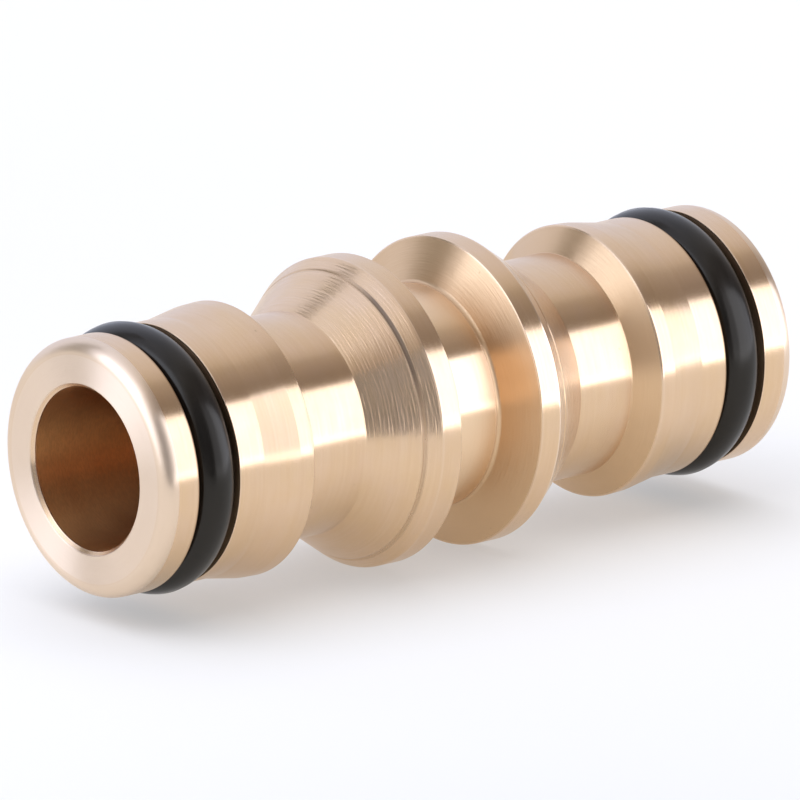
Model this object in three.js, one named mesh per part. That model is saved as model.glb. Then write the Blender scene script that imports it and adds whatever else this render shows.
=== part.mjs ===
// A two-way union for garden hose: a turned brass body with a plain water way straight
// through it, and a rubber O-ring in the groove of each nose. A hose connector pushes onto
// each nose, its jaws close on the neck, and its mouth stops at the flange.
// Millimetres. The bore lies along X, x = 0 is the centre plane, and the two ends mirror
// each other. A START is the end of a stretch that is nearer the centre plane.

import * as THREE from 'three';

// Whole body
const LENGTH = 49.0;
const BORE_RADIUS = 5.0;
const MOUTH_CHAMFER = 0.25;

// Waist between the two flanges
const WAIST_RADIUS = 6.84;
const WAIST_HALF_LENGTH = 1.95;
const WAIST_FILLET = 0.3;

// Flange: a steep cone up from the waist, the rim, then a long cone down to the neck, with
// one scribed line round it near the rim
const RIM_START = 3.14;
const RIM_END = 4.57;
const RIM_RADIUS = 9.47;
const SCRIBE_PLACE = 5.48;
const SCRIBE_HALF_WIDTH = 0.12;
const SCRIBE_DEPTH = 0.12;

// Neck, where the connector's jaws close
const NECK_START = 8.35;
const NECK_END = 12.46;
const NECK_RADIUS = 6.83;

// Nose: a ridge that the jaws lock behind, a taper and a straight land
const RIDGE_START = 13.62;
const RIDGE_END = 14.62;
const RIDGE_RADIUS = 8.37;
const TAPER_START_RADIUS = 8.33;
const TAPER_END = 17.07;
const LAND_RADIUS = 7.92;

// O-ring groove, and the collar between it and the end face
const GROOVE_START = 18.98;
const GROOVE_END = 22.06;
const GROOVE_FLOOR_RADIUS = 5.8;
const COLLAR_RADIUS = 7.88;
const COLLAR_ROUNDING = 0.85;

// O-ring, which stands proud of the nose. Its stretch flattens the 2.6 mm cord to an oval.
const RING_HALF_WIDTH = 1.4;
const RING_HALF_HEIGHT = 1.2;
const RING_FIT_GAP = 0.06;

// Fineness of the turned surfaces
const TURN_SEGMENTS = 64;
const RING_SECTION_SEGMENTS = 12;
const ARC_STEPS = 2;

const brass = new THREE.MeshStandardMaterial({ color: 0xd3a67c, roughness: 0.28, metalness: 1.0 });
const rubber = new THREE.MeshStandardMaterial({ color: 0x141414, roughness: 0.5, metalness: 0.0 });

// Radius of the flange's long cone at distance x from the centre plane
function coneRadius(x) {
  const share = (x - RIM_END) / (NECK_START - RIM_END);
  return RIM_RADIUS + (NECK_RADIUS - RIM_RADIUS) * share;
}

// Outline of the right half, x along the bore and y the radius, from the centre plane over
// the outside to the edge of the bore's mouth
function halfOutline() {
  const path = new THREE.Path();
  path.moveTo(0, WAIST_RADIUS);

  // waist, fillet and the flange's steep cone
  const coneAngle = Math.atan2(RIM_RADIUS - WAIST_RADIUS, RIM_START - WAIST_HALF_LENGTH);
  const filletStart = WAIST_HALF_LENGTH - WAIST_FILLET * Math.tan(coneAngle / 2);
  const filletCentre = WAIST_RADIUS + WAIST_FILLET;
  const down = -Math.PI / 2;
  path.absarc(filletStart, filletCentre, WAIST_FILLET, down, down + coneAngle);
  path.lineTo(RIM_START, RIM_RADIUS);

  // rim, and the long cone with its scribed line
  path.lineTo(RIM_END, RIM_RADIUS);
  for (const step of [-1, 0, 1]) {
    const x = SCRIBE_PLACE + step * SCRIBE_HALF_WIDTH;
    const depth = step === 0 ? SCRIBE_DEPTH : 0;
    path.lineTo(x, coneRadius(x) - depth);
  }
  path.lineTo(NECK_START, NECK_RADIUS);

  // neck, ridge, taper and land
  path.lineTo(NECK_END, NECK_RADIUS);
  path.lineTo(RIDGE_START, RIDGE_RADIUS);
  path.lineTo(RIDGE_END, TAPER_START_RADIUS);
  path.lineTo(TAPER_END, LAND_RADIUS);
  path.lineTo(GROOVE_START, LAND_RADIUS);

  // O-ring groove
  path.lineTo(GROOVE_START, GROOVE_FLOOR_RADIUS);
  path.lineTo(GROOVE_END, GROOVE_FLOOR_RADIUS);
  path.lineTo(GROOVE_END, COLLAR_RADIUS);

  // collar, rounded edge, flat end face and chamfered mouth
  const end = LENGTH / 2;
  const roundingCentre = COLLAR_RADIUS - COLLAR_ROUNDING;
  path.absarc(end - COLLAR_ROUNDING, roundingCentre, COLLAR_ROUNDING, Math.PI / 2, 0, true);
  path.lineTo(end, BORE_RADIUS + MOUTH_CHAMFER);
  path.lineTo(end - MOUTH_CHAMFER, BORE_RADIUS);
  return path.getPoints(ARC_STEPS);
}

// The half outline, its mirror image and the bore's wall, turned about X
function bodyGeometry() {
  const right = halfOutline();
  const left = right.slice(1).map((point) => new THREE.Vector2(-point.x, point.y)).reverse();
  const loop = [...left, ...right, left[0]];
  const profile = loop.map((point) => new THREE.Vector2(point.y, point.x));
  return new THREE.LatheGeometry(profile, TURN_SEGMENTS).rotateZ(-Math.PI / 2);
}

function ringGeometry() {
  const radius = GROOVE_FLOOR_RADIUS + RING_FIT_GAP + RING_HALF_HEIGHT;
  const torus = new THREE.TorusGeometry(
    radius, RING_HALF_HEIGHT, RING_SECTION_SEGMENTS, TURN_SEGMENTS
  );
  return torus.scale(1, 1, RING_HALF_WIDTH / RING_HALF_HEIGHT).rotateY(Math.PI / 2);
}

const union = new THREE.Group();

const body = new THREE.Mesh(bodyGeometry(), brass);
body.name = 'brass_body';
union.add(body);

for (const [side, direction] of [['left', -1], ['right', 1]]) {
  const ring = new THREE.Mesh(ringGeometry(), rubber);
  ring.name = `o_ring_${side}`;
  ring.position.x = direction * (GROOVE_START + GROOVE_END) / 2;
  union.add(ring);
}

export default union;
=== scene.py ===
"""Looks of the hose union: a turned brass body with an O-ring in each nose's groove, on a pale
floor in soft studio light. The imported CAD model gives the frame; sizes here are in millimetres."""

import math
import bpy
import numpy as np
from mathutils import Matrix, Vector


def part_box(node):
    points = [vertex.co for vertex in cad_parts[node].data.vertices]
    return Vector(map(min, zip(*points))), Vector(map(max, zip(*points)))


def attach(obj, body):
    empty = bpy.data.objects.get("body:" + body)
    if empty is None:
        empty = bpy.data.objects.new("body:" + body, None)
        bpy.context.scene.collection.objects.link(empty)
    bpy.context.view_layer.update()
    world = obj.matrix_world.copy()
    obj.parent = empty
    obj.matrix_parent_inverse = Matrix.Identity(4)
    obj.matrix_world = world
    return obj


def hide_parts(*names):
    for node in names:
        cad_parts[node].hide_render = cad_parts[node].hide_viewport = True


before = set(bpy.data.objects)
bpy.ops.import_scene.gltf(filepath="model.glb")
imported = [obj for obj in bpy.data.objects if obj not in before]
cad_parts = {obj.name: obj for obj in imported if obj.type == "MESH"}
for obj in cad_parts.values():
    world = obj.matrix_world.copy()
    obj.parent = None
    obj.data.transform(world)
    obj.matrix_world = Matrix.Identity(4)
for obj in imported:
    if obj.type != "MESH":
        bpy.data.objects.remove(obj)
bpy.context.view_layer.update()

MM = 0.001
SCENE = bpy.context.scene

# ---------------------------------------------------------------------------
# Sizes of the object
# ---------------------------------------------------------------------------

# from the frame
body_low, body_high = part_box("brass_body")
ring_low, ring_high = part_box("o_ring_right")
HALF_LENGTH = body_high.x / MM
RIM_RADIUS = body_high.z / MM
RING_PLACE = (ring_low.x + ring_high.x) / 2 / MM
RING_HALF_WIDTH = (ring_high.x - ring_low.x) / 2 / MM
RING_CREST = ring_high.z / MM

# the turned body, from the waist out to the end face
WAIST_RADIUS = 6.84
WAIST_HALF_LENGTH = 1.95
RIM_START = 3.14
RIM_END = 4.57
SCRIBE_PLACE = 5.48
SCRIBE_WIDTH = 0.16
SCRIBE_DEPTH = 0.06
SCRIBE_SECTION = ((-0.5, 0), (-0.15, 1), (0.15, 1), (0.5, 0))
NECK_START = 8.35
NECK_END = 12.46
NECK_RADIUS = 6.83
RIDGE_START = 13.62
RIDGE_END = 14.62
RIDGE_RADIUS = 8.37
TAPER_START_RADIUS = 8.33
TAPER_END = 17.07
LAND_RADIUS = 7.92
GROOVE_START = 18.98
GROOVE_END = 22.06
GROOVE_FLOOR_RADIUS = 5.8
COLLAR_RADIUS = 7.88
COLLAR_ROUNDING = 0.85
BORE_RADIUS = 5.0
MOUTH_CHAMFER = 0.25

# how far each corner is rounded. An outside corner sharper than WORN_ROUNDING wears bright.
WAIST_FILLET = 0.3
CRISP_EDGE = 0.05
INNER_CORNER = 0.08
SCRIBE_ROUNDING = 0.02
RIDGE_ROUNDING = 0.12
TAPER_ROUNDING = 0.5
MOUTH_ROUNDING = 0.04
WORN_ROUNDING = 0.2

# fineness of the meshes. At 192 steps the body has fewer than 200,000 triangles.
TURN_STEPS = 192
LONGEST_STEP = 0.6
EDGE_MARGIN = 0.1
ARC_STEP = math.radians(9)
RING_SECTION_STEPS = 48
RING_TURN_STEPS = 256

# the O-ring's section, flattened by its stretch, and the moulding line round its crest. The
# left ring has been pushed a little towards the flange.
RING_HALF_HEIGHT = 1.2
LEFT_RING_PUSH = 0.12
FLASH_HEIGHT = 0.02
FLASH_HALF_ANGLE = math.radians(3)

# how each stretch of the surface was finished. The brushed cones in the recesses and the grooves
# also carry painted shade, and the waist carries painted light. All but FINE are mesh attributes of
# that name.
FINE, COARSE, DRILLED, FACED, ROUNDED, BRUSHED_AND_SHADED, GROOVE_SHADED, SCRIBED, WAIST_LIT = range(9)
MARKED_FINISHES = {
    "coarse": COARSE,
    "drilled": DRILLED,
    "faced": FACED,
    "rounded": ROUNDED,
    "brushed_and_shaded": BRUSHED_AND_SHADED,
    "groove_shaded": GROOVE_SHADED,
    "scribed": SCRIBED,
    "waist_lit": WAIST_LIT,
}

# the finish of a corner's arc, by its rounding, where it isn't that of the stretch after it
ARC_FINISHES = {COLLAR_ROUNDING: ROUNDED, SCRIBE_ROUNDING: SCRIBED}


# ---------------------------------------------------------------------------
# Mesh making
# ---------------------------------------------------------------------------

def rounded_outline(corners):
    """A closed outline whose corners (x, radius, rounding, finish) are rounded by arcs, as a
    dict of arrays: points, normals, lengths along it, finishes, and edges, which is 1 on the
    arcs of outside corners."""
    places = [np.array(corner[:2], float) for corner in corners]
    count = len(corners)
    arcs = []
    for i, corner in enumerate(corners):
        before, here, after = places[i - 1], places[i], places[(i + 1) % count]
        way_in = (here - before) / np.linalg.norm(here - before)
        way_out = (after - here) / np.linalg.norm(after - here)
        turn = math.atan2(way_in[0] * way_out[1] - way_in[1] * way_out[0], way_in @ way_out)
        arcs.append((here, way_in, way_out, turn, corner[2]))

    points, normals, finishes, edges = [], [], [], []
    for i, (here, way_in, way_out, turn, radius) in enumerate(arcs):
        left = np.array([-way_in[1], way_in[0]])
        start = here - way_in * radius * math.tan(abs(turn) / 2)
        centre = start + left * radius * math.copysign(1, turn)
        steps = max(1, math.ceil(abs(turn) / ARC_STEP))
        for step in range(steps + 1):
            angle = turn * step / steps
            turned = np.array([
                way_in[0] * math.cos(angle) - way_in[1] * math.sin(angle),
                way_in[0] * math.sin(angle) + way_in[1] * math.cos(angle),
            ])
            outward = np.array([-turned[1], turned[0]])
            points.append(centre - outward * radius * math.copysign(1, turn))
            normals.append(outward)
            finishes.append(ARC_FINISHES.get(radius, corners[i][3]))
            edges.append(float(turn < 0 and SCRIBE_ROUNDING < radius < WORN_ROUNDING))

        here_next, in_next, _, turn_next, radius_next = arcs[(i + 1) % count]
        end = here_next - in_next * radius_next * math.tan(abs(turn_next) / 2)
        begin = points[-1]
        length = np.linalg.norm(end - begin)
        pieces = max(1, math.ceil(length / LONGEST_STEP))
        shares = [step / pieces for step in range(1, pieces)]
        if length > 2 * EDGE_MARGIN:
            shares = [EDGE_MARGIN / length, *shares, 1 - EDGE_MARGIN / length]
        for share in sorted(shares):
            points.append(begin + (end - begin) * share)
            normals.append(normals[-1])
            finishes.append(corners[i][3])
            edges.append(0.0)

    points = np.array(points)
    steps = np.linalg.norm(np.diff(points, axis=0), axis=1)
    return {
        "points": points,
        "normals": np.array(normals),
        "lengths": np.concatenate([[0], np.cumsum(steps)]),
        "finishes": np.array(finishes),
        "edges": np.array(edges),
    }


def turned_mesh(name, points, normals, attributes, steps):
    """A closed outline turned about the X axis, with exact normals. The attributes are
    numbers given for each point of the outline."""
    count = len(points)
    angles = np.linspace(0, 2 * math.pi, steps, endpoint=False)
    across, up = np.cos(angles)[:, None], np.sin(angles)[:, None]
    radii = points[:, 1][None, :]
    along = np.broadcast_to(points[:, 0], (steps, count))
    vertices = np.stack([along, across * radii, up * radii], axis=-1).reshape(-1, 3) * MM
    slope = normals[:, 1][None, :]
    facing = np.broadcast_to(normals[:, 0], (steps, count))
    vectors = np.stack([facing, across * slope, up * slope], axis=-1).reshape(-1, 3)

    faces = []
    for turn in range(steps):
        near, far = turn * count, (turn + 1) % steps * count
        for step in range(count):
            following = (step + 1) % count
            faces.append((near + step, far + step, far + following, near + following))

    mesh = bpy.data.meshes.new(name)
    mesh.from_pydata(vertices.tolist(), [], faces)
    mesh.polygons.foreach_set("use_smooth", [True] * len(faces))
    mesh.normals_split_custom_set_from_vertices(vectors.tolist())
    for label, values in attributes.items():
        attribute = mesh.attributes.new(label, "FLOAT", "POINT")
        attribute.data.foreach_set("value", np.tile(values, steps).astype(np.float32))
    mesh.update()
    piece = bpy.data.objects.new(name, mesh)
    SCENE.collection.objects.link(piece)
    return piece


# ---------------------------------------------------------------------------
# Pieces
# ---------------------------------------------------------------------------

def cone_radius(x):
    share = (x - RIM_END) / (NECK_START - RIM_END)
    return RIM_RADIUS + (NECK_RADIUS - RIM_RADIUS) * share


def body_corners():
    """Corners of the right half's outline, from the centre plane over the outside to the
    bore, each with its rounding and the finish of the stretch that follows it."""
    scribe = []
    for offset, depth in SCRIBE_SECTION:
        x = SCRIBE_PLACE + offset * SCRIBE_WIDTH
        radius = cone_radius(x) - depth * SCRIBE_DEPTH
        finish = COARSE if offset == SCRIBE_SECTION[-1][0] else SCRIBED
        scribe.append((x, radius, SCRIBE_ROUNDING, finish))
    return [
        # the brushed cones in the recesses also carry painted shade
        (WAIST_HALF_LENGTH, WAIST_RADIUS, WAIST_FILLET, BRUSHED_AND_SHADED),
        (RIM_START, RIM_RADIUS, CRISP_EDGE, FINE),
        (RIM_END, RIM_RADIUS, CRISP_EDGE, COARSE),
        *scribe,
        (NECK_START, NECK_RADIUS, INNER_CORNER, FINE),
        (NECK_END, NECK_RADIUS, INNER_CORNER, BRUSHED_AND_SHADED),
        (RIDGE_START, RIDGE_RADIUS, RIDGE_ROUNDING, FINE),
        (RIDGE_END, TAPER_START_RADIUS, TAPER_ROUNDING, FINE),
        (TAPER_END, LAND_RADIUS, TAPER_ROUNDING, FINE),
        # the groove's walls and floor carry painted shade
        (GROOVE_START, LAND_RADIUS, CRISP_EDGE, GROOVE_SHADED),
        (GROOVE_START, GROOVE_FLOOR_RADIUS, INNER_CORNER, GROOVE_SHADED),
        (GROOVE_END, GROOVE_FLOOR_RADIUS, INNER_CORNER, GROOVE_SHADED),
        (GROOVE_END, COLLAR_RADIUS, CRISP_EDGE, FINE),
        (HALF_LENGTH, COLLAR_RADIUS, COLLAR_ROUNDING, FACED),
        (HALF_LENGTH, BORE_RADIUS + MOUTH_CHAMFER, MOUTH_ROUNDING, FINE),
        (HALF_LENGTH - MOUTH_CHAMFER, BORE_RADIUS, MOUTH_ROUNDING, DRILLED),
    ]


def mirrored(corners):
    """The left half's corners, in the order that carries the outline on round the bore and
    back to the centre plane. A stretch's finish belongs to the corner before it."""
    flipped = []
    for i in range(len(corners) - 1, -1, -1):
        x, radius, rounding, _ = corners[i]
        # the waist, after the last corner, is marked for painted light
        finish = corners[i - 1][3] if i > 0 else WAIST_LIT
        flipped.append((-x, radius, rounding, finish))
    return flipped


def make_body():
    right = body_corners()
    outline = rounded_outline(right + mirrored(right))
    attributes = {
        "along": outline["lengths"],
        "edge": outline["edges"],
    }
    for label, finish in MARKED_FINISHES.items():
        attributes[label] = outline["finishes"] == finish
    body = turned_mesh(
        "turned_body", outline["points"], outline["normals"], attributes, TURN_STEPS)
    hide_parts("brass_body")
    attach(body, "root")
    return body


def make_ring(name, node, centre):
    """An O-ring, with the thin raised line round its crest where its two half moulds met."""
    centre_radius = RING_CREST - RING_HALF_HEIGHT
    angles = np.linspace(-math.pi, math.pi, RING_SECTION_STEPS, endpoint=False)
    angles = np.sort(np.concatenate([angles, FLASH_HALF_ANGLE * np.array([-1, -0.5, 0.5, 1])]))
    swell = FLASH_HEIGHT * np.clip(1.5 - np.abs(angles) / FLASH_HALF_ANGLE, 0, 1)
    circle = np.stack([np.sin(angles), np.cos(angles)], axis=-1)
    oval = circle * [RING_HALF_WIDTH, RING_HALF_HEIGHT]
    normals = circle / [RING_HALF_WIDTH, RING_HALF_HEIGHT]
    normals /= np.linalg.norm(normals, axis=1, keepdims=True)
    points = np.array([centre, centre_radius]) + oval
    points += normals * (swell - FLASH_HEIGHT)[:, None]
    attributes = {"along": RING_HALF_WIDTH * angles}
    ring = turned_mesh(name, points, normals, attributes, RING_TURN_STEPS)
    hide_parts(node)
    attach(ring, "root")
    return ring


# ---------------------------------------------------------------------------
# Materials
# ---------------------------------------------------------------------------

# tool marks: the feed's pitch and how far it wanders, and each kind's height in mm
FEED_PITCH = 0.24
FEED_WANDER = 9.0
COARSE_STROKES = 0.02
COARSE_FEED = 0.0014
BRUSHED_STROKES = 0.011
FACED_STROKES = 0.007
LINE_HEIGHT = 0.003
DRILLED_GRAINS = 0.012

# roughness: its range over the patches, and what each mark or finish adds to it
PATCH_ROUGHNESS = (0.205, 0.25)
LINE_DULLNESS = 0.02
BRUSHED_DULLNESS = 0.075
ROUNDED_DULLNESS = 0.08
FACED_DULLNESS = 0.15
DRILLED_DULLNESS = 0.16
GROOVE_DULLNESS = 0.15
DIRT_DULLNESS = 0.2
EDGE_DULLNESS = -0.04
RUBBER_ROUGHNESS = (0.20, 0.265)

# colours, fitted to the photo's under this studio's light and not measured from the metal
BRASS_PINK = (0.765, 0.553, 0.372, 1)
BRASS_YELLOW = (0.76, 0.54, 0.333, 1)
BRASS_DEEP = (0.69, 0.455, 0.26, 1)
BRASS_PALE = (0.80, 0.62, 0.46, 1)
BRASS_FACED = (0.87, 0.71, 0.565, 1)
BRASS_ROUNDED = (0.83, 0.66, 0.50, 1)
# painted shade: the brushed cones in the recesses are tinted darker and more golden, for the dim
# golden light bounced about in the recesses
BRASS_GOLD_SHADE = (0.70, 0.48, 0.28, 1)
# painted light: the waist is tinted paler, for light that the flanges reflect onto it
BRASS_WAIST_LIT = (0.88, 0.655, 0.43, 1)
# The right long cone's tint makes up for too little light on it in this studio. It isn't a
# finish that the photo shows, and from other sides that cone looks paler than the left one.
BRASS_CONE = (0.90, 0.74, 0.57, 1)
BRASS_BORE = (0.86, 0.43, 0.15, 1)
# painted shade in the bore, which darkens it towards its top and bottom; it also tints the bore's
# grain
BRASS_BORE_SHADE_AND_GRAIN = (0.44, 0.21, 0.08, 1)
# painted shade: the grooves' walls and floor are tinted dark brown, for the shade between the O-ring
# and the walls
BRASS_GROOVE_SHADE = (0.36, 0.22, 0.12, 1)
GRIME = (0.08, 0.05, 0.03, 1)
BRASS_SPECK = (0.36, 0.27, 0.15, 1)
RUBBER_DARK = (0.004, 0.003, 0.0026, 1)
RUBBER_LIGHT = (0.009, 0.007, 0.006, 1)
RUBBER_DUST = (0.10, 0.095, 0.09, 1)
FLOOR_COLOUR = (0.48, 0.485, 0.499)
FLOOR_GLOW = 0.40


class Graph:
    """A new material's node tree, with a short way of adding each kind of node."""

    def __init__(self, name):
        self.material = bpy.data.materials.new(name)
        self.material.use_nodes = True
        self.tree = self.material.node_tree
        self.shader = next(n for n in self.tree.nodes if n.type == "BSDF_PRINCIPLED")

    def feed(self, socket, value):
        if isinstance(value, bpy.types.NodeSocket):
            self.tree.links.new(value, socket)
        else:
            socket.default_value = value

    def add(self, kind, **inputs):
        node = self.tree.nodes.new("ShaderNode" + kind)
        for label, value in inputs.items():
            self.feed(node.inputs[label.replace("_", " ")], value)
        return node

    def math(self, operation, *values):
        node = self.tree.nodes.new("ShaderNodeMath")
        node.operation = operation
        for socket, value in zip(node.inputs, values):
            self.feed(socket, value)
        return node.outputs[0]

    def sum(self, first, *others):
        for other in others:
            first = self.math("ADD", first, other)
        return first

    def product(self, first, *others):
        for other in others:
            first = self.math("MULTIPLY", first, other)
        return first

    def attribute(self, name):
        node = self.tree.nodes.new("ShaderNodeAttribute")
        node.attribute_name = name
        return node.outputs["Fac"]

    def place(self):
        """The point's x, y and z in mm."""
        coordinates = self.tree.nodes.new("ShaderNodeTexCoord")
        scaled = self.tree.nodes.new("ShaderNodeVectorMath")
        scaled.operation = "SCALE"
        scaled.inputs["Scale"].default_value = 1 / MM
        self.tree.links.new(coordinates.outputs["Object"], scaled.inputs[0])
        split = self.add("SeparateXYZ", Vector=scaled.outputs[0])
        return split.outputs

    def marks(self, along, across, up, pitch, stroke, detail=2.0, roughness=0.5):
        """Noise from 0 to 1 whose grains are pitch mm long along the outline and stroke mm
        round the axis."""
        vector = self.add(
            "CombineXYZ",
            X=self.math("DIVIDE", along, pitch),
            Y=self.math("DIVIDE", across, stroke),
            Z=self.math("DIVIDE", up, stroke))
        noise = self.add(
            "TexNoise", Vector=vector.outputs[0], Scale=1.0, Detail=detail, Roughness=roughness)
        return noise.outputs["Fac"]

    def spread(self, value, low, high, to_low=0.0, to_high=1.0):
        """The value's range from low to high carried over to the second range, and clamped."""
        node = self.add("MapRange", Value=value, From_Min=low, From_Max=high, To_Min=to_low,
                        To_Max=to_high)
        return node.outputs["Result"]

    def blend(self, factor, first, second):
        """A colour between the first and the second."""
        node = self.tree.nodes.new("ShaderNodeMix")
        node.data_type = "RGBA"
        colours = [socket for socket in node.inputs if socket.type == "RGBA"]
        self.feed(node.inputs["Factor"], factor)
        self.feed(colours[0], first)
        self.feed(colours[1], second)
        return next(socket for socket in node.outputs if socket.type == "RGBA")

    def specks(self, place, cell, size, share):
        """1 on scattered round specks, 0 elsewhere. A share of the cells holds a speck."""
        vector = self.add("CombineXYZ", X=place["X"], Y=place["Y"], Z=place["Z"])
        cells = self.add("TexVoronoi", Vector=vector.outputs[0], Scale=1 / cell)
        inside = self.spread(cells.outputs["Distance"], size / cell, 0.5 * size / cell)
        chosen = self.math("LESS_THAN", cells.outputs["Color"], share)
        return self.math("MULTIPLY", inside, chosen)

    def bump(self, height):
        """Dents and ridges whose height is in mm."""
        node = self.add("Bump", Strength=1.0, Distance=MM, Height=height)
        self.tree.links.new(node.outputs["Normal"], self.shader.inputs["Normal"])


def brass_material():
    """Turned brass. Tool marks run round the axis, so the gloss is spread along the outline."""
    graph = Graph("turned_brass")
    shader = graph.shader
    along = graph.attribute("along")
    edge = graph.attribute("edge")
    coarse, drilled, faced, rounded, brushed_and_shaded, groove_shaded, scribed, waist_lit = (
        graph.attribute(label) for label in MARKED_FINISHES)
    place = graph.place()
    across, up = place["Y"], place["Z"]

    # tool marks: strokes that start and stop on the coarse cones, fine lines elsewhere
    strokes = graph.marks(along, across, up, pitch=0.12, stroke=1.6, detail=1.5)
    lines = graph.marks(along, across, up, pitch=0.15, stroke=6.0, detail=0.5)
    grains = graph.marks(along, across, up, pitch=0.12, stroke=0.3, detail=2.0)
    wander = graph.marks(along, across, up, pitch=2.0, stroke=3.0)
    turns = graph.math("MULTIPLY", along, 2 * math.pi / FEED_PITCH)
    feed = graph.math("SINE", graph.math("MULTIPLY_ADD", wander, FEED_WANDER, turns))
    graph.bump(graph.sum(
        graph.product(strokes, coarse, COARSE_STROKES),
        graph.product(feed, coarse, COARSE_FEED),
        graph.product(strokes, brushed_and_shaded, BRUSHED_STROKES),
        graph.product(strokes, faced, FACED_STROKES),
        graph.product(lines, LINE_HEIGHT),
        graph.product(grains, drilled, DRILLED_GRAINS),
    ))

    # dirt in the left scribed line, thickest on its upper front side
    left_side = graph.math("LESS_THAN", place["X"], 0.0)
    right_side = graph.math("SUBTRACT", 1.0, left_side)
    dirt = graph.product(
        scribed,
        left_side,
        graph.spread(up, 0.3, 4.3, 0.15, 0.85),
        graph.spread(across, -0.5, -4.0, 0.15, 1.0))

    # roughness: patchy, duller where worked, in the grooves and where dirty, polished on the edges
    patches = graph.marks(along, across, up, pitch=1.6, stroke=2.6, detail=4.0, roughness=0.6)
    graph.feed(shader.inputs["Roughness"], graph.sum(
        graph.spread(patches, 0.3, 0.7, *PATCH_ROUGHNESS),
        graph.product(lines, LINE_DULLNESS),
        graph.product(brushed_and_shaded, BRUSHED_DULLNESS),
        graph.product(rounded, ROUNDED_DULLNESS),
        graph.product(faced, FACED_DULLNESS),
        graph.product(drilled, DRILLED_DULLNESS),
        graph.product(groove_shaded, GROOVE_DULLNESS),
        graph.product(dirt, DIRT_DULLNESS),
        graph.product(edge, EDGE_DULLNESS),
    ))

    # colour: pinker and yellower patches, then the tints of the finishes and of the right long
    # cone, painted shade in the recesses, the grooves and the bore, painted light on the waist,
    # then dirt and specks
    mottle = graph.marks(along, across, up, pitch=2.5, stroke=3.5, detail=5.0, roughness=0.6)
    streaks = graph.spread(graph.marks(along, across, up, pitch=0.14, stroke=5.0), 0.3, 0.7)
    specks = graph.specks(place, cell=1.3, size=0.09, share=0.25)
    # painted shade: the bore is darker towards its top and bottom
    from_middle = graph.math("ABSOLUTE", graph.math("ADD", up, 0.8))
    bore_top_bottom_shade = graph.spread(from_middle, 1.8, 4.6, 0.0, 0.95)
    colour = graph.blend(graph.spread(mottle, 0.35, 0.65), BRASS_PINK, BRASS_YELLOW)
    for share, tint in (
            (graph.product(streaks, 0.25), BRASS_DEEP),
            # painted shade on the brushed cones in the recesses
            (graph.product(brushed_and_shaded, 0.9), BRASS_GOLD_SHADE),
            # painted light on the waist
            (graph.product(waist_lit, 0.9), BRASS_WAIST_LIT),
            (graph.product(coarse, right_side, 0.9), BRASS_CONE),
            (graph.product(faced, 0.85), BRASS_FACED),
            (graph.product(rounded, 0.85), BRASS_ROUNDED),
            (graph.product(drilled, 0.9), BRASS_BORE),
            # painted shade at the bore's top and bottom
            (graph.product(drilled, bore_top_bottom_shade), BRASS_BORE_SHADE_AND_GRAIN),
            (graph.product(drilled, graph.spread(grains, 0.4, 0.6), 0.2), BRASS_BORE_SHADE_AND_GRAIN),
            (graph.product(edge, 0.3), BRASS_PALE),
            # painted shade in the grooves
            (graph.product(groove_shaded, 0.9), BRASS_GROOVE_SHADE),
            (dirt, GRIME),
            (graph.product(specks, 0.4), BRASS_SPECK)):
        colour = graph.blend(share, colour, tint)
    graph.feed(shader.inputs["Base Color"], colour)

    # dirt isn't metal, and the gloss runs square to the marks round the axis
    graph.feed(shader.inputs["Metallic"], graph.math("SUBTRACT", 1.0, dirt))
    shader.inputs["Anisotropic"].default_value = 0.9
    shader.inputs["Anisotropic Rotation"].default_value = 0.25
    tangent = graph.add("Tangent")
    tangent.direction_type = "RADIAL"
    tangent.axis = "X"
    graph.feed(shader.inputs["Tangent"], tangent.outputs["Tangent"])
    return graph.material


def rubber_material():
    """Black nitrile, satin from the mould, with a little dust and fine flow marks."""
    graph = Graph("black_rubber")
    shader = graph.shader
    along = graph.attribute("along")
    place = graph.place()
    across, up = place["Y"], place["Z"]
    flow = graph.marks(along, across, up, pitch=0.3, stroke=1.8, detail=3.0)
    grain = graph.marks(along, across, up, pitch=0.06, stroke=0.08, detail=2.0)
    graph.bump(graph.sum(graph.product(flow, 0.006), graph.product(grain, 0.001)))
    graph.feed(shader.inputs["Roughness"], graph.spread(flow, 0.3, 0.7, *RUBBER_ROUGHNESS))
    dust = graph.specks(place, cell=0.8, size=0.05, share=0.25)
    colour = graph.blend(graph.spread(flow, 0.3, 0.7), RUBBER_DARK, RUBBER_LIGHT)
    colour = graph.blend(graph.product(dust, 0.3), colour, RUBBER_DUST)
    graph.feed(shader.inputs["Base Color"], colour)
    shader.inputs["Specular IOR Level"].default_value = 0.4
    shader.inputs["Specular Tint"].default_value = (1.0, 0.93, 0.8, 1)
    return graph.material


def floor_material():
    """A pale floor that glows a little, as a light table does, so that shadows stay soft."""
    graph = Graph("pale_floor")
    inputs = graph.shader.inputs
    inputs["Base Color"].default_value = (*FLOOR_COLOUR, 1)
    inputs["Roughness"].default_value = 1.0
    inputs["Specular IOR Level"].default_value = 0.0
    inputs["Emission Color"].default_value = (1, 1, 1, 1)
    inputs["Emission Strength"].default_value = FLOOR_GLOW
    return graph.material


def card_material(name, level):
    graph = Graph(name)
    inputs = graph.shader.inputs
    inputs["Base Color"].default_value = (level, level, level, 1)
    inputs["Roughness"].default_value = 1.0
    inputs["Specular IOR Level"].default_value = 0.0
    return graph.material


# ---------------------------------------------------------------------------
# Studio
# ---------------------------------------------------------------------------

# Places and sizes are in mm. The floor's plane touches the flanges.
FLOOR_HEIGHT = -RIM_RADIUS
FLOOR_HALF_SIZE = 3000

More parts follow.
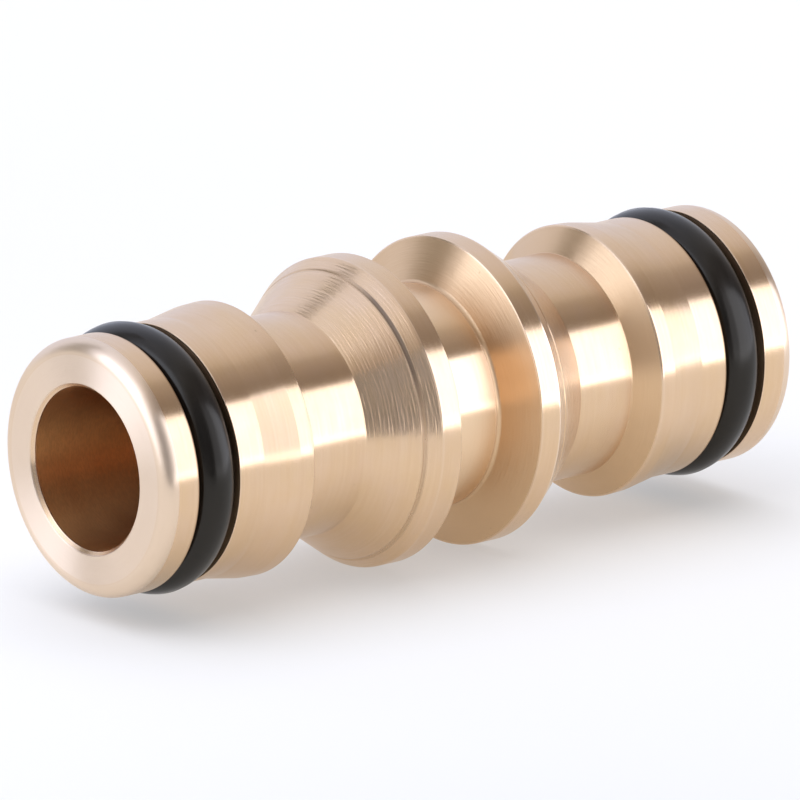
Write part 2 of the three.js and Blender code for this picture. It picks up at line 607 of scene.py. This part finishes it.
# The softboxes' strips are (start, end, radiance), along X in front and along Y on the left.
FRONT_DISTANCE = 67
FRONT_FOOT_GAP = 2.5
FRONT_TOP = 73
FRONT_TINT = (1, 1.07, 1.28)
FRONT_STRIPS = ((-24, 15, 0.95), (15, 100, 2.2), (100, 260, 1.6))
LEFT_DISTANCE = 150
LEFT_FOOT_GAP = 0.5
LEFT_TOP = 170
LEFT_TINT = (1, 1.15, 1.48)
LEFT_STRIPS = ((-36, -20, 0.68), (-20, 0, 1.05), (0, 119, 1.24))
TOP_FILL_PLACE = (-200, 100, 900)
TOP_FILL_SIZE = 1400
TOP_FILL_RADIANCE = (1.5, 1.5, 1.5)

# each card's grey level and corners
CARDS = {
    "front_flag": (0.25, [(-150, -68, -9), (-24, -68, -9), (-24, -68, 84), (-150, -68, 84)]),
    "back_gap": (0.5, [(-186, 145, -9), (-130, 207, -9), (-25, 150, 198), (-50, 115, 216)]),
}

# the camera's angles in degrees, its distance in metres, and its aim's offset in mm to the
# right and up
CAMERA_AZIMUTH = -39.65
CAMERA_ELEVATION = 15.57
CAMERA_DISTANCE = 1.2041
CAMERA_AIM = (-0.0928, -0.0508)
CAMERA_LENS = 900

# the world's colour by how far a direction leans to the pale side, and its change along X
WORLD_FALL = -0.05
PALE_SIDE = (-0.267, 0.912, 0.306)
SKY = (
    (-1.0, (0.27, 0.25, 0.24)),
    (-0.3, (0.32, 0.285, 0.275)),
    (-0.15, (0.42, 0.38, 0.375)),
    (-0.04, (0.49, 0.455, 0.44)),
    (0.05, (0.67, 0.64, 0.64)),
    (0.20, (0.81, 0.80, 0.86)),
    (0.40, (0.88, 0.90, 1.01)),
    (0.55, (0.92, 0.97, 1.16)),
    (1.0, (0.96, 1.03, 1.28)),
)


def make_panel(name, centre, normal, width, height, radiance):
    """A rectangular soft light facing along normal, its width level. Sizes in mm."""
    light = bpy.data.lights.new(name, "AREA")
    light.shape = "RECTANGLE"
    light.size = width * MM
    light.size_y = height * MM
    light.color = [level / max(radiance) for level in radiance]
    light.energy = max(radiance) * math.pi * light.size * light.size_y
    panel = bpy.data.objects.new(name, light)
    panel.location = Vector(centre) * MM
    panel.rotation_euler = Vector(normal).to_track_quat("-Z", "Y").to_euler()
    panel.visible_camera = False
    SCENE.collection.objects.link(panel)
    return panel


def make_card(name, level, corners):
    """A grey card that the metal reflects, as in product photography. Corners in mm."""
    mesh = bpy.data.meshes.new(name)
    mesh.from_pydata([Vector(corner) * MM for corner in corners], [], [(0, 1, 2, 3)])
    card = bpy.data.objects.new(name, mesh)
    card.visible_camera = False
    SCENE.collection.objects.link(card)
    mesh.materials.append(card_material(name, level))


def make_floor():
    mesh = bpy.data.meshes.new("floor")
    size = FLOOR_HALF_SIZE * MM
    z = FLOOR_HEIGHT * MM
    corners = [(-size, -size, z), (size, -size, z), (size, size, z), (-size, size, z)]
    mesh.from_pydata(corners, [], [(0, 1, 2, 3)])
    floor = bpy.data.objects.new("floor", mesh)
    SCENE.collection.objects.link(floor)
    mesh.materials.append(floor_material())


def make_world():
    """Soft light all round, pale overhead, behind and to the left, and dim in front."""
    world = bpy.data.worlds.new("studio")
    SCENE.world = world
    world.use_nodes = True
    tree = world.node_tree
    background = next(n for n in tree.nodes if n.type == "BACKGROUND")
    place = tree.nodes.new("ShaderNodeTexCoord")
    pale_side = tree.nodes.new("ShaderNodeVectorMath")
    pale_side.operation = "DOT_PRODUCT"
    pale_side.inputs[1].default_value = Vector(PALE_SIDE).normalized()
    spread = tree.nodes.new("ShaderNodeMapRange")
    spread.inputs["From Min"].default_value = -1
    ramp = tree.nodes.new("ShaderNodeValToRGB")
    split = tree.nodes.new("ShaderNodeSeparateXYZ")
    strength = tree.nodes.new("ShaderNodeMath")
    strength.operation = "MULTIPLY_ADD"
    strength.inputs[1].default_value = WORLD_FALL
    strength.inputs[2].default_value = 1.0
    tree.links.new(place.outputs["Generated"], pale_side.inputs[0])
    tree.links.new(place.outputs["Generated"], split.inputs[0])
    tree.links.new(pale_side.outputs["Value"], spread.inputs["Value"])
    tree.links.new(spread.outputs["Result"], ramp.inputs["Fac"])
    tree.links.new(split.outputs["X"], strength.inputs[0])
    tree.links.new(ramp.outputs["Color"], background.inputs["Color"])
    tree.links.new(strength.outputs["Value"], background.inputs["Strength"])
    elements = ramp.color_ramp.elements
    for i, (side, colour) in enumerate(SKY):
        element = elements[i] if i < 2 else elements.new((side + 1) / 2)
        element.position = (side + 1) / 2
        element.color = (*colour, 1)


def make_lights():
    """A wide softbox along the front, dimmest at its left end, one on the left that fades
    towards the front, each made of strips side by side, a fill light overhead and the cards."""
    foot = FLOOR_HEIGHT + FRONT_FOOT_GAP
    for start, end, level in FRONT_STRIPS:
        panel = make_panel(
            "front_softbox", ((start + end) / 2, -FRONT_DISTANCE, (foot + FRONT_TOP) / 2),
            (0, 1, 0), end - start, FRONT_TOP - foot, [tint * level for tint in FRONT_TINT])
        panel.visible_diffuse = False
    foot = FLOOR_HEIGHT + LEFT_FOOT_GAP
    for start, end, level in LEFT_STRIPS:
        panel = make_panel(
            "left_softbox", (-LEFT_DISTANCE, (start + end) / 2, (foot + LEFT_TOP) / 2),
            (1, 0, 0), end - start, LEFT_TOP - foot, [tint * level for tint in LEFT_TINT])
        panel.visible_diffuse = False
    top = make_panel(
        "top_fill", TOP_FILL_PLACE, (0, 0, -1), TOP_FILL_SIZE, TOP_FILL_SIZE, TOP_FILL_RADIANCE)
    top.visible_glossy = False
    for name, (level, corners) in CARDS.items():
        make_card(name, level, corners)


def make_camera():
    azimuth = math.radians(CAMERA_AZIMUTH)
    elevation = math.radians(CAMERA_ELEVATION)
    back = Vector((
        math.sin(azimuth) * math.cos(elevation),
        -math.cos(azimuth) * math.cos(elevation),
        math.sin(elevation),
    ))
    right = Vector((math.cos(azimuth), math.sin(azimuth), 0))
    up = back.cross(right)
    aim = (right * CAMERA_AIM[0] + up * CAMERA_AIM[1]) * MM
    data = bpy.data.cameras.new("camera")
    data.lens = CAMERA_LENS
    data.sensor_width = 36
    data.clip_start = 0.01
    data.clip_end = 10
    camera = bpy.data.objects.new("camera", data)
    camera.location = aim + back * CAMERA_DISTANCE
    camera.rotation_mode = "QUATERNION"
    camera.rotation_quaternion = (-back).to_track_quat("-Z", "Y")
    SCENE.collection.objects.link(camera)
    SCENE.camera = camera


# ---------------------------------------------------------------------------
# Scene
# ---------------------------------------------------------------------------

SCENE.view_settings.view_transform = "Standard"
make_camera()
make_floor()
make_world()
make_lights()

brass = brass_material()
rubber = rubber_material()
make_body().data.materials.append(brass)
make_ring("ring_left", "o_ring_left", LEFT_RING_PUSH - RING_PLACE).data.materials.append(rubber)
make_ring("ring_right", "o_ring_right", RING_PLACE).data.materials.append(rubber)
